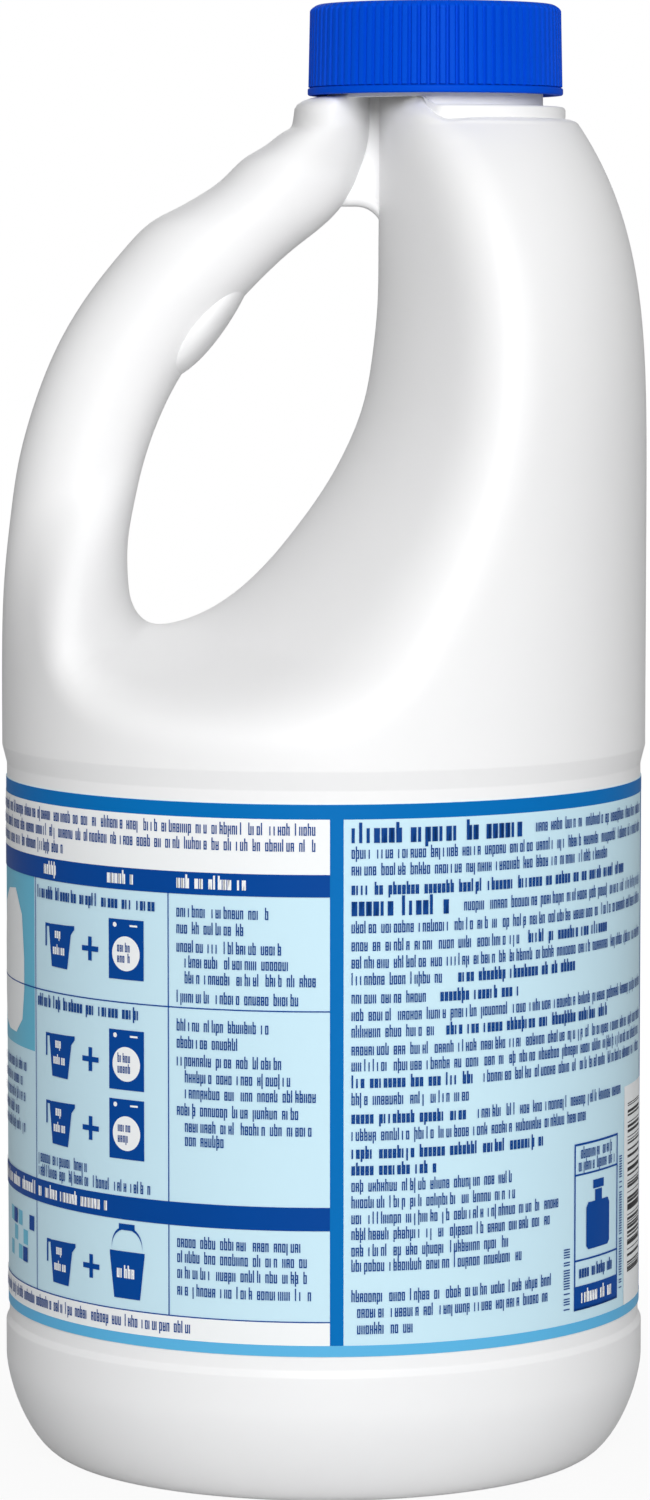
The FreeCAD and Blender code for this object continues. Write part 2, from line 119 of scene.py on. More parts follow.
def smoothCurve(knots, count):
    # a natural cubic spline through the knots, by their running length, as count evenly spaced points
    knots = np.asarray(knots, float)
    along = np.concatenate([[0], np.cumsum(np.linalg.norm(np.diff(knots, axis=0), axis=1))])
    gap = np.diff(along)
    size = len(knots)
    system = np.eye(size)
    right = np.zeros((size, knots.shape[1]))
    inner = np.arange(1, size - 1)
    system[inner, inner - 1] = gap[:-1]
    system[inner, inner] = 2 * (gap[:-1] + gap[1:])
    system[inner, inner + 1] = gap[1:]
    slope = np.diff(knots, axis=0) / gap[:, None]
    right[1:-1] = 6 * np.diff(slope, axis=0)
    bend = np.linalg.solve(system, right)
    where = np.linspace(0, along[-1], count)
    k = np.clip(np.searchsorted(along, where, side="right") - 1, 0, size - 2)
    a = ((along[k + 1] - where) / gap[k])[:, None]
    b = 1 - a
    g = gap[k][:, None]
    return a * knots[k] + b * knots[k + 1] + ((a**3 - a) * bend[k] + (b**3 - b) * bend[k + 1]) * g * g / 6


def roundedLine(corners, steps=6):
    # a line through corners (r, z, radius), each corner rounded by an arc of that radius where it has one
    line = []
    for i, (r, z, radius) in enumerate(corners):
        here = np.array([r, z], float)
        if radius == 0 or i in (0, len(corners) - 1):
            line.append(here[None])
            continue
        back = np.array(corners[i - 1][:2]) - here
        ahead = np.array(corners[i + 1][:2]) - here
        back /= np.linalg.norm(back)
        ahead /= np.linalg.norm(ahead)
        half = math.acos(np.clip(back @ ahead, -1, 1)) / 2
        middle = here + (back + ahead) / np.linalg.norm(back + ahead) * radius / math.sin(half)
        first = here + back * radius / math.tan(half) - middle
        turn = math.pi - 2 * half
        sense = np.sign(back[0] * ahead[1] - back[1] * ahead[0])
        angle = -sense * np.linspace(0, turn, steps + 1)[:, None]
        spun = first * np.cos(angle) + np.array([-first[1], first[0]]) * np.sin(angle)
        line.append(middle + spun)
    return np.concatenate(line)


def turned(line, segments, axisX=0.0):
    # the line (r, z) carried round an upright axis at axisX, as a grid of points in metres
    theta = np.linspace(0, 2 * math.pi, segments, endpoint=False)[:, None]
    r, z = line[:, 0][None], line[:, 1][None]
    return np.stack([axisX + r * np.cos(theta), r * np.sin(theta), z + 0 * theta], axis=-1) * mm


def smoothStep(low, high, value):
    share = np.clip((value - low) / (high - low), 0, 1)
    return share * share * (3 - 2 * share)


def smoothMin(a, b, width):
    # the lower of two heights, with the crossing rounded over the width
    near = np.maximum(width - np.abs(a - b), 0) / width
    return np.minimum(a, b) - near * near * width / 4


# Bottle: all sizes in millimetres, heights from the floor
bottle = {
    "bodyRadius": 52.6,
    "baseRadius": 52.4,        # the bulge under the label
    "domeRadius": 41.0,        # the recess inside the ring that the bottle stands on
    "domeLow": 0.25,
    "domeRise": 4.25,
    "domeFlat": 0.72,          # share of its radius over which the recess is flat
    "ringInner": 41.6,
    "ringOuter": 44.5,
    "cornerHigh": 15.6,
    "cornerPower": 1.29,
    "bulgeHigh": 21.2,
    "panelRadius": 51.85,      # the recess that the label lies in
    "panelLow": 22.3,
    "panelHigh": 113.2,
    "rampHigh": 116.2,
    "joinHeight": 118.0,       # where the turned lower body meets the shoulder's surface
    "shoulderLow": 150.0,
    "shoulderHigh": 216.3,
    "shoulderTop": 217.6,
    "shoulderRun": 11.1,
    "leanHigh": 216.5,         # height at which the shoulder's middle reaches the neck's axis
    "neckShift": 18.1,
    "collarRadius": 20.7,      # the shoulder's top edge, hidden in the collar
    "lift": 3.7,               # on the handle's side the surface goes on up to the cap
    "liftLow": 216.2,
    "liftLeft": 14.5,
    "liftRight": 20.0,
    "closeLow": 219.2,         # there it rounds in to the neck
    "closeHigh": 221.3,
    "closeRadius": 17.3,
    "closeEarly": 2.4,         # the shoulder rounds in this much lower than the handle
    "closeSpan": 9.0,          # width over which the handle's height turns into the shoulder's
    "creaseOpen": 0.3,         # share by which the crease beside the handle widens at the top
    "creaseLow": 216.6,
    "hollowSide": 24.0,        # how far the hollow beside the hand opening spreads sideways at hollowDepth
    "hollowFloor": 16.0,
    "hollowDepth": 50.0,
    "hollowPower": 1.7,
    "crestRound": 13.0,
    "crestShare": 0.45,        # the crest's rounding is at most this share of the shoulder's radius
    "blendHigh": 16.0,         # height over the joint in which the round body turns into the carved shoulder
    "handleDepth": 11.8,       # half the handle's depth
    "waist": 0.14,             # share by which the handle narrows, over this span of its length
    "waistSpan": (0.6, 0.85),
    "flare": 0.10,             # and by which it widens again at the top
    "flareSpan": (0.9, 1.0),
    "rootLow": 0.03,           # shares of the handle's length over which the body turns into the grip
    "rootHigh": 0.30,
    "stretchHigh": 160.0,      # below this height the shoulder's circle narrows to the handle's outer side
    "wall": 0.9,
    "rowsSide": 110,
    "rowsFloor": 96,
    "rowsHandle": 130,
    "columns": 66,
    "crowding": 1.7,           # power by which the rows crowd together towards the top
    "edgePoints": 3000,
    "edgeStep": 10,
    "backPoints": 1200,
}

# Edge of the hand opening, (x, z), from the web's top down the shoulder's side, round and up the handle
openingSide = [
    (9.0, 217.6), (9.0, 207), (8.9, 197), (8.7, 187), (8.0, 180), (6.5, 171.7), (3.7, 164.4), (0.3, 158.2),
    (-3.9, 152.2), (-10.1, 144.8),
]
openingFloor = [(-15.3, 140.2), (-20.2, 137.3), (-25.1, 135.7), (-28.6, 135.8), (-31.0, 138.2)]
openingHandle = [
    (-32.0, 143.0), (-32.0, 149.0), (-31.1, 154.6), (-29.4, 161.9), (-26.9, 169.0), (-23.6, 175.6),
    (-19.4, 181.6), (-14.6, 187.2), (-9.6, 192.4), (-4.6, 196.9), (0.4, 200.9), (3.6, 204.6), (5.8, 209.3),
    (7.1, 213.6), (7.5, 217.6),
]
# Outer side of the handle, from the body up to the collar
handleBack = [
    (-52.6, 118), (-52.6, 128), (-52.5, 136), (-52.1, 144), (-51.2, 152.5), (-49.8, 161.9), (-47.1, 171.7),
    (-43.6, 180.4), (-38.3, 189.3), (-32.4, 196.7), (-27.6, 201.3), (-24.2, 203.1), (-20.4, 205.2),
    (-16.4, 208.0), (-12.9, 211.3), (-9.3, 213.5), (-6.6, 215.5), (-5.0, 216.6), (-4.5, 217.6),
]


def shoulderRing(shape, z):
    # the shoulder's circle at a height: its middle moves to the neck by the third power, its far side closes
    # by the fourth, and a quarter ellipse rounds it into the collar
    share = np.clip((z - shape["shoulderLow"]) / (shape["leanHigh"] - shape["shoulderLow"]), 0, 1)
    middle = shape["neckShift"] * share**3
    radius = shape["bodyRadius"] - shape["shoulderRun"] * share**4 - middle
    over = np.clip((z - shape["shoulderHigh"]) / (shape["shoulderTop"] - shape["shoulderHigh"]), 0, 1)
    radius = shape["collarRadius"] + (radius - shape["collarRadius"]) * np.sqrt(1 - over**2)
    return middle, radius


def skinPlan(shape, edge, back):
    # The skin's points on the parting plane, as (x, z), and each row's share of the way up the handle. Rows
    # run from the collar down the far side, along the joint with the lower body and up the handle; columns
    # run from the hand opening's edge outwards.
    rowsSide, rowsFloor, rowsHandle = shape["rowsSide"], shape["rowsFloor"], shape["rowsHandle"]
    ends = [np.linalg.norm(edge - knot, axis=1).argmin() for knot in (openingSide[-1], openingFloor[-1])]
    fall = np.linspace(0, 1, rowsSide + 1)[:-1] ** shape["crowding"]
    rise = 1 - np.linspace(1, 0, rowsHandle + 1) ** shape["crowding"]
    edgeCount, backCount = np.arange(len(edge)), np.arange(len(back))
    where = np.concatenate([
        ends[0] * fall,
        np.linspace(ends[0], ends[1], rowsFloor + 1)[:-1],
        ends[1] + (edgeCount[-1] - ends[1]) * rise,
    ])
    inner = np.stack([np.interp(where, edgeCount, edge[:, k]) for k in (0, 1)], axis=-1)
    sideZ = shape["shoulderTop"] - (shape["shoulderTop"] - shape["joinHeight"]) * fall
    middle, radius = shoulderRing(shape, sideZ)
    turn = np.linspace(0, math.pi, rowsFloor + 1)[:-1]
    outer = np.concatenate([
        np.stack([middle + radius, sideZ], axis=-1),
        np.stack([shape["bodyRadius"] * np.cos(turn), np.full_like(turn, shape["joinHeight"])], axis=-1),
        np.stack([np.interp(rise * backCount[-1], backCount, back[:, k]) for k in (0, 1)], axis=-1),
    ])
    share = (1 - np.cos(np.linspace(0, math.pi, shape["columns"] + 1))) / 2
    climb = np.zeros(len(inner))
    climb[-rowsHandle - 1:] = rise
    return inner[:, None] + (outer - inner)[:, None] * share[None, :, None], climb


def hollowCurve(shape, plan, edge):
    # depth of the hollow at each point, by the distance from the opening's edge and the way that its nearest
    # point faces: the nearest of the thinned samples, then the lowest point of the parabola through its
    # squared distance and those of its two neighbours
    step = shape["edgeStep"]
    coarse = edge[::step]
    tangent = np.gradient(coarse, axis=0)
    tangent /= np.linalg.norm(tangent, axis=1)[:, None]
    away = (plan[:, :, None, 0] - coarse[:, 0]) ** 2 + (plan[:, :, None, 1] - coarse[:, 1]) ** 2
    nearest = np.clip(away.argmin(axis=-1), 1, len(coarse) - 2)
    before, at, after = (
        np.take_along_axis(away, (nearest + k)[..., None], axis=-1)[..., 0] for k in (-1, 0, 1)
    )
    foot = nearest + np.clip(0.5 * (before - after) / (before - 2 * at + after), -1, 1)
    count = np.arange(len(edge))
    distance = np.hypot(*(plan[..., k] - np.interp(foot * step, count, edge[:, k]) for k in (0, 1)))
    facing = np.stack([np.interp(foot * step, count[::step], tangent[:, k]) for k in (0, 1)], axis=-1)
    run = np.hypot(shape["hollowSide"] * facing[..., 1], shape["hollowFloor"] * facing[..., 0])
    depth = shape["hollowDepth"] * (distance / run) ** (1 / shape["hollowPower"])
    opened = shape["creaseOpen"] * smoothStep(shape["creaseLow"], shape["shoulderTop"], plan[..., 1])
    return depth * (1 - opened)


def closeTop(shape, x, depth, z):
    # on the handle's side the top rows go on up to the cap, and there the surface rounds in to the neck
    lift = 1 - smoothStep(shape["liftLeft"], shape["liftRight"], x)
    z = z + shape["lift"] * smoothStep(shape["liftLow"], shape["shoulderTop"], z) * lift
    reach = np.hypot(x - shape["neckShift"], depth)
    closeLow = shape["closeLow"] - shape["closeEarly"] * smoothStep(0, shape["closeSpan"], x)
    over = np.clip((z - closeLow) / (shape["closeHigh"] - closeLow), 0, 1)
    pulled = shape["closeRadius"] + (reach - shape["closeRadius"]) * np.sqrt(1 - over**2)
    pull = np.where(reach > shape["closeRadius"], pulled / reach, 1)
    return shape["neckShift"] + (x - shape["neckShift"]) * pull, depth * pull, z


def shoulderSkin(shape):
    # Half of the shoulder and handle, as depth over the parting plane: the lower of the shoulder's circle and
    # the hollow, which on the handle turns into an ellipse. Given back for both halves.
    edge = smoothCurve(openingSide + openingFloor + openingHandle, shape["edgePoints"])
    back = smoothCurve(handleBack, shape["backPoints"])
    plan, climb = skinPlan(shape, edge, back)
    x, z = plan[..., 0], plan[..., 1]
    stretch = np.where(x < 0, shape["bodyRadius"] / -np.interp(z, back[:, 1], back[:, 0]), 1)
    stretch = np.where(z < shape["stretchHigh"], stretch, 1)
    ringX, ringR = shoulderRing(shape, z)
    circle = np.sqrt(np.maximum(ringR**2 - (x * stretch - ringX) ** 2, 0))
    crest = np.minimum(shape["crestRound"], shape["crestShare"] * ringR)
    carved = smoothMin(circle, hollowCurve(shape, plan, edge), crest)
    joinHeight = shape["joinHeight"]
    body = circle + (carved - circle) * smoothStep(joinHeight, joinHeight + shape["blendHigh"], z)
    body[:, 0] = 0

    narrow = 1 - shape["waist"] * smoothStep(*shape["waistSpan"], climb)
    narrow = narrow + shape["flare"] * smoothStep(*shape["flareSpan"], climb)
    phase = np.linspace(0, math.pi, shape["columns"] + 1)
    tube = (shape["handleDepth"] * narrow)[:, None] * np.sin(phase)[None]
    blend = smoothStep(shape["rootLow"], shape["rootHigh"], climb)[:, None]
    depth = body * (1 - blend) + tube * blend
    sides = (climb > 0) | (np.arange(len(climb)) < shape["rowsSide"])
    depth[sides, -1] = 0
    x, depth, z = closeTop(shape, x, depth, z)
    return np.stack([x, -depth, z], axis=-1) * mm, np.stack([x, depth, z], axis=-1) * mm


def lowerBody(shape):
    # base, standing ring, corner, label recess and the ramp above it, as a line (r, z)
    dome = np.linspace(0, 1, 14)
    domeFall = smoothStep(shape["domeFlat"], 1.0, dome)
    domeLine = np.stack([
        shape["domeRadius"] * dome, shape["domeLow"] + shape["domeRise"] * (1 - domeFall),
    ], axis=-1)
    corner = np.linspace(0, math.pi / 2, 15)
    baseRadius, ringOuter, cornerHigh = shape["baseRadius"], shape["ringOuter"], shape["cornerHigh"]
    cornerLine = np.stack([
        ringOuter + (baseRadius - ringOuter) * np.sin(corner) ** shape["cornerPower"],
        cornerHigh - cornerHigh * np.cos(corner) ** shape["cornerPower"],
    ], axis=-1)
    wallLine = roundedLine([
        (baseRadius, cornerHigh, 0), (baseRadius, shape["bulgeHigh"], 0.8),
        (shape["panelRadius"], shape["panelLow"], 0.6), (shape["panelRadius"], shape["panelHigh"], 1.2),
        (shape["bodyRadius"], shape["rampHigh"], 1.6), (shape["bodyRadius"], shape["joinHeight"], 0),
    ])
    wallLine[-1, 0] = shape["bodyRadius"]
    return np.concatenate([domeLine, [[shape["ringInner"], 0.0]], cornerLine, wallLine[1:]])


front, behind = shoulderSkin(bottle)
rows, columns = front.shape[:2]
lower = turned(lowerBody(bottle), 2 * bottle["rowsFloor"])
skin = makePiece("bottleSkin", [
    (front, gridQuads(rows, columns)),
    (behind, gridQuads(rows, columns)),
    (lower, gridQuads(*lower.shape[:2], wrapRows=True)),
], merge=4e-6, sharp=60)
thick = skin.modifiers.new("wall", "SOLIDIFY")
thick.thickness = bottle["wall"] * mm
thick.offset = -1
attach(skin, "bottle")
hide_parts("bottle_body", "bottle_shoulder", "bottle_handle", "bottle_neck")
print("bottle skin made")


# Neck with its collar and thread, on the axis x = shift
neck = {
    "shift": bottle["neckShift"],
    "collarRadius": 21.1,
    "collarLow": 216.4,
    "collarHigh": 219.5,
    "collarInner": 19.5,
    "radius": 17.45,
    "bore": 15.25,
    "top": 233.8,
    "rimRound": 0.5,
    "wallLow": 221.0,          # the collar's line ends here, and the thread's wall begins
    "wallRows": 75,
    "collarLeft": 14.5,        # on the handle's side the collar ends inside the handle and shoulder
    "collarRight": 19.0,
    "creaseLow": 220.9,        # beside the handle the neck's wall starts here, over the crease
    "creaseLeft": (0.8, 2.8),
    "creaseRight": (15.5, 18.0),
    "segments": 240,
    "threadPitch": 4.233,
    "threadDepth": 1.15,
    "threadFoot": 2.3,
    "threadCrest": 0.9,
    "threadTaper": 0.08,
    "threadStart": 223.8,
    "threadTurns": 1.6,
}


def threadRidge(shape, theta, z, start, turns):
    # share of the thread's height at an angle and a height: a trapezoid round the nearest turn of a
    # right-handed helix that starts at angle 0, with its ends tapered off
    pitch, foot, taper = shape["threadPitch"], shape["threadFoot"], shape["threadTaper"]
    turn = np.round((z - start) / pitch - theta / (2 * math.pi))
    middle = start + pitch * (turn + theta / (2 * math.pi))
    along = turn + theta / (2 * math.pi)
    ridge = np.clip((foot / 2 - np.abs(z - middle)) / ((foot - shape["threadCrest"]) / 2), 0, 1)
    return ridge * smoothStep(0, taper, along) * smoothStep(0, taper, turns - along)


def neckSkin(shape):
    radius, bore, top = shape["radius"], shape["bore"], shape["top"]
    collarRadius, collarLow, collarHigh = shape["collarRadius"], shape["collarLow"], shape["collarHigh"]
    rimLow = top - 0.6
    outerLine = roundedLine([
        (bore, collarLow + 0.3, 0), (shape["collarInner"], collarLow, 0),
        (collarRadius, collarLow, 0.5), (collarRadius, collarHigh, 0.6),
        (radius, collarHigh, 0.4), (radius, shape["wallLow"], 0),
    ])
    wallZ = np.linspace(shape["wallLow"], rimLow, shape["wallRows"] + 1)[1:]
    wallLine = np.stack([np.full_like(wallZ, radius), wallZ], axis=-1)
    rimLine = roundedLine([
        (radius, rimLow, 0), (radius, top, shape["rimRound"]), (bore, top, shape["rimRound"]),
        (bore, top - 2, 0), (bore, collarLow + 0.3, 0),
    ])[1:]
    line = np.concatenate([outerLine, wallLine, rimLine])
    grid = turned(line, shape["segments"], shape["shift"]) / mm
    theta = np.linspace(0, 2 * math.pi, shape["segments"], endpoint=False)[:, None]
    r, z = line[:, 0][None], line[:, 1][None]
    thread = threadRidge(shape, theta, z, shape["threadStart"], shape["threadTurns"])
    thread = thread * shape["threadDepth"] * (np.abs(r - radius) < 0.01) * (z > shape["wallLow"])
    collarX = shape["shift"] + collarRadius * np.cos(theta)
    hidden = 1 - smoothStep(shape["collarLeft"], shape["collarRight"], collarX)
    shrink = np.maximum(r - radius, 0) * hidden
    grow = (thread - shrink) / r
    grid[..., 0] += (grid[..., 0] - shape["shift"]) * grow
    grid[..., 1] += grid[..., 1] * grow
    wallX = shape["shift"] + radius * np.cos(theta)
    crease = smoothStep(*shape["creaseLeft"], wallX) * (1 - smoothStep(*shape["creaseRight"], wallX))
    grid[..., 2] += np.maximum(shape["creaseLow"] - grid[..., 2], 0) * crease
    return grid * mm


neckGrid = neckSkin(neck)
neckPiece = makePiece("neckAndCollar", [
    (neckGrid, gridQuads(*neckGrid.shape[:2], wrapRows=True, wrapColumns=True)),
], merge=2e-6)
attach(neckPiece, "bottle")
print("neck made")


# Web: a pinched sheet between the handle's top and the shoulder, its lower edge an arch with a rolled rim
web = {
    "left": 1.6,
    "right": 10.2,
    "archX": 5.2,              # the arch is level up to here, then falls by its radius
    "archZ": 199.1,
    "archRadius": 4.4,
    "half": 1.0,               # half the sheet's thickness
    "rim": 1.4,
    "rimTall": 4.0,
    "tall": 30.0,
    "top": 221.2,
}


def webSkin(shape):
    # rows run across from the handle to the shoulder, columns from the arch's edge up; the thickness swells
    # to a round bead just above the edge
    x = np.linspace(shape["left"], shape["right"], 60)[:, None]
    dome = np.sqrt(np.maximum(shape["archRadius"] ** 2 - np.maximum(x - shape["archX"], 0) ** 2, 0))
    edge = shape["archZ"] + dome
    rimTall, tall = shape["rimTall"], shape["tall"]
    up = np.concatenate([np.linspace(0, rimTall, 26), np.linspace(rimTall, tall, 24)[1:]])[None]
    z = np.minimum(edge + up, shape["top"])
    bead = np.sqrt(np.maximum(shape["rim"] ** 2 - (up - shape["rim"]) ** 2, 0)) * (up < 2 * shape["rim"])
    sheet = shape["half"] * smoothStep(0, shape["rim"], up)
    half = np.maximum(bead, sheet) + 0 * x
    flat = np.stack([x + 0 * up, -half, z], axis=-1)
    return flat * mm, flat * np.array([1, -1, 1]) * mm


webFront, webBack = webSkin(web)
webPiece = makePiece("web", [
    (webFront, gridQuads(*webFront.shape[:2])),
    (webBack, gridQuads(*webBack.shape[:2])),
], merge=5e-6, sharp=70)
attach(webPiece, "bottle")
print("web made")


# Finger pad: a swelling on the inner side of the handle
fingerPad = {
    "x": -18.9,
    "z": 185.4,
    "long": 12.0,
    "thick": 3.3,
    "deep": 8.9,
    "fuller": 0.18,            # share by which its lower end is fuller
    "lean": 38.0,              # degrees from upright
}


def padSkin(shape):
    # an ellipsoid, fuller towards its lower end, tilted along the handle
    u = np.linspace(0, math.pi, 65)[:, None]
    v = np.linspace(0, 2 * math.pi, 96, endpoint=False)[None]
    along = -np.cos(u) + 0 * v
    full = np.sin(u) * (1 - shape["fuller"] * along)
    across = shape["thick"] * full * np.cos(v)
    deep = shape["deep"] * full * np.sin(v)
    lean = math.radians(shape["lean"])
    x = shape["x"] + along * shape["long"] * math.sin(lean) + across * math.cos(lean)
    z = shape["z"] + along * shape["long"] * math.cos(lean) - across * math.sin(lean)
    return np.stack([x, deep + 0 * x, z], axis=-1) * mm


padGrid = padSkin(fingerPad)
padPiece = makePiece("fingerPad", [
    (padGrid, gridQuads(*padGrid.shape[:2], wrapColumns=True)),
], merge=2e-6)
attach(padPiece, "bottle")
print("finger pad made")


# Cap: on the same axis as the neck
cap = {
    "low": 221.4,
    "high": 236.0,
    "lipRadius": 20.71,
    "lipHigh": 1.1,
    "lipRound": 0.3,
    "wallLow": 20.1,           # radius between the ribs, just over the lip and at the top
    "wallHigh": 19.85,
    "wallStart": 1.3,          # height over the cap's lower edge
    "ribHeight": 0.5,
    "ribs": 84,
    "ribGap": (0.10, 0.27),    # shares of a rib's pitch between which it rises
    "ribFoot": (1.0, 1.34),    # heights over the lower edge between which it grows out of the lip
    "ribTop": 1.2,
    "round": 1.1,
    "bore": 19.0,
    "mouth": 0.4,
    "inside": 234.85,
    "insideRadius": 17.5,
    "threadTurns": 1.2,
    "ribSteps": 12,
}


def capSkin(shape):
    low, high, start, bore = shape["low"], shape["high"], shape["wallStart"], shape["bore"]
    lipRadius, lipRound = shape["lipRadius"], shape["lipRound"]
    foot, head = low + 1.35, high - 1.25
    wallZ = np.concatenate([
        [foot, low + 1.6], np.linspace(low + 2.0, high - 1.9, 14), [high - 1.5, head],
    ])
    wallR = np.interp(wallZ, [foot, head], [shape["wallLow"], shape["wallHigh"]])
    boreZ = np.linspace(shape["inside"], low + shape["mouth"], 80)
    outerLine = roundedLine([
        (bore, low + shape["mouth"], 0), (bore + 0.3, low, 0.12), (lipRadius, low, lipRound),
        (lipRadius, low + shape["lipHigh"], lipRound), (shape["wallLow"], low + start, 0),
    ], 4)
    topLine = roundedLine([
        (shape["wallHigh"], high - 1.2, 0), (shape["wallHigh"], high, shape["round"]), (6.0, high, 0),
        (0.0, high, 0),
    ], 8)
    insideLine = np.array([[0.0, shape["inside"]], [shape["insideRadius"], shape["inside"]]])
    line = np.concatenate([
        outerLine, np.stack([wallR, wallZ], axis=-1), topLine, insideLine,
        np.stack([np.full_like(boreZ, bore), boreZ], axis=-1),
    ])
    segments = shape["ribs"] * shape["ribSteps"]
    grid = turned(line, segments, neck["shift"]) / mm
    theta = np.linspace(0, 2 * math.pi, segments, endpoint=False)[:, None]
    r, z = line[:, 0][None], line[:, 1][None]
    wave = (theta * shape["ribs"] / (2 * math.pi)) % 1
    ridge = smoothStep(*shape["ribGap"], wave) * smoothStep(*shape["ribGap"], 1 - wave)
    outside = (r > shape["wallHigh"] - 0.9) & (r < shape["wallLow"] + 0.01) & (z > low + start)
    footLow, footHigh = shape["ribFoot"]
    reach = smoothStep(low + footLow, low + footHigh, z) * smoothStep(0, shape["ribTop"], high + 0.05 - z)
    ribbed = ridge * shape["ribHeight"] * reach * outside
    inner = (np.abs(r - bore) < 0.01) & (z > low + 0.6)
    threadStart = neck["threadStart"] + neck["threadPitch"] / 2
    thread = threadRidge(neck, theta, z, threadStart, shape["threadTurns"]) * neck["threadDepth"] * inner
    grow = (ribbed - thread) / np.maximum(r, 1)
    grid[..., 0] += (grid[..., 0] - neck["shift"]) * grow
    grid[..., 1] += grid[..., 1] * grow
    return grid * mm


capGrid = capSkin(cap)
capPiece = makePiece("capShell", [
    (capGrid, gridQuads(*capGrid.shape[:2], wrapRows=True, wrapColumns=True)),
], merge=1e-6, sharp=50)
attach(capPiece, "cap")
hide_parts("cap")
print("cap made")


# Liner: a foam disc that seals on the neck's rim
liner = {
    "radius": 18.7,
    "low": 233.8,
    "high": 234.8,
    "round": 0.2,
}
linerLine = roundedLine([
    (0.0, liner["low"], 0), (liner["radius"], liner["low"], liner["round"]),
    (liner["radius"], liner["high"], liner["round"]), (0.0, liner["high"], 0),
], 4)
linerGrid = turned(linerLine, 160, neck["shift"])
linerPiece = makePiece("linerDisc", [(linerGrid, gridQuads(*linerGrid.shape[:2], wrapRows=True))])
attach(linerPiece, "cap_lifter")
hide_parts("cap_liner")
print("liner made")


# Label: a film sleeve in the recess. Places on it are millimetres round the body from the middle of the
# front, positive towards the neck's side, and heights
label = {
    "radius": 51.98,
    "low": 24.5,
    "high": 111.15,
    "film": 0.1,
    "inkStep": 0.025,          # each layer of ink lies this far outside the one before
    "slice": 1.4,
}

labelLine = np.array([
    [label["radius"], label["low"]], [label["radius"], label["high"]],
    [label["radius"] - label["film"], label["high"]], [label["radius"] - label["film"], label["low"]],
])
labelGrid = turned(labelLine, 240)
labelPiece = makePiece("labelSleeve", [
    (labelGrid, gridQuads(*labelGrid.shape[:2], wrapRows=True, wrapColumns=True)),
])
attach(labelPiece, "bottle")
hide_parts("label")
print("label made")


# Print: every area is cut into upright slices, each as left, right, low and high at the left, low and high
# at the right

def area(along, low, high):
    # one area from lists of places along the label with its lower and upper edge at each, cut finely enough
    # that its slices follow the round body
    along, low, high = (np.asarray(value, float) for value in (along, low, high))
    fine = np.union1d(along, np.arange(along[0], along[-1], label["slice"]))
    low, high = np.interp(fine, along, low), np.interp(fine, along, high)
    return np.stack([fine[:-1], fine[1:], low[:-1], high[:-1], low[1:], high[1:]], axis=-1)


def oblong(left, right, low, high):
    return area([left, right], [low, low], [high, high])


def tile(left, low):
    return oblong(left, left + 2.2, low, low + 2.4)


def frameLine(left, right, low, high, width):
    inner = (low + width, high - width)
    return np.concatenate([
        oblong(left, right, low, low + width), oblong(left, right, high - width, high),
        oblong(left, left + width, *inner), oblong(right - width, right, *inner),
    ])


def disc(middle, height, radius, tall=1.0):
    turn = np.linspace(math.pi, 0, 21 + int(radius))
    rise = radius * tall * np.sin(turn)
    return area(middle + radius * np.cos(turn), height - rise, height + rise)


def cupShape(left, low):
    # a measuring jug: a tapering body with a lip on the right and a hook of a handle on the left
    body = area(
        left + np.array([1.2, 2.0, 6.4, 7.4, 8.3]),
        low + np.array([6.0, 0.1, 0.0, 5.6, 6.5]),
        low + np.array([6.8, 6.9, 7.0, 7.05, 7.1]),
    )
    return np.concatenate([
        body, oblong(left, left + 1.5, low + 6.4, low + 6.9), oblong(left, left + 0.45, low + 3.2, low + 6.6),
    ])


def plusShape(middle, height):
    return np.concatenate([
        oblong(middle - 1.9, middle + 1.9, height - 0.42, height + 0.42),
        oblong(middle - 0.42, middle + 0.42, height - 1.9, height + 1.9),
    ])


def bucketShape(left, low):
    # a tapering bucket under its bail, which has a grip at the top
    turn = np.linspace(math.pi, 0, 25)
    along = left + 3.5 + 3.1 * np.cos(turn)
    rise = 4.0 * np.sin(turn) ** 0.7
    body = area(
        left + np.array([0, 0.9, 6.1, 7.0]), low + np.array([7.0, 0.0, 0.0, 7.0]), low + np.full(4, 7.5),
    )
    bail = area(along, low + 7.5 + np.maximum(rise - 0.45, 0), low + 7.5 + rise)
    return np.concatenate([body, bail, oblong(left + 1.9, left + 5.1, low + 10.9, low + 11.9)])


# Letters of the small text, as shares of its height
letters = {
    "pitch": 0.29,
    "pitchByWeight": 0.35,     # heavier letters stand further apart
    "face": 0.80,              # share of the pitch that a letter fills
    "half": 0.34,              # half of a small letter's height
    "tail": 0.22,
    "tailChance": 0.05,
    "rise": 0.26,
    "riseChance": 0.24,
    "pairChance": 0.78,        # of a second stem
    "topChance": 0.7,          # of a bar between the stems
    "footChance": 0.6,
    "middleChance": 0.3,
    "sidePitch": 0.42,         # text on its side, in millimetres
    "sideTall": 0.2,
    "sideChance": 0.82,
}


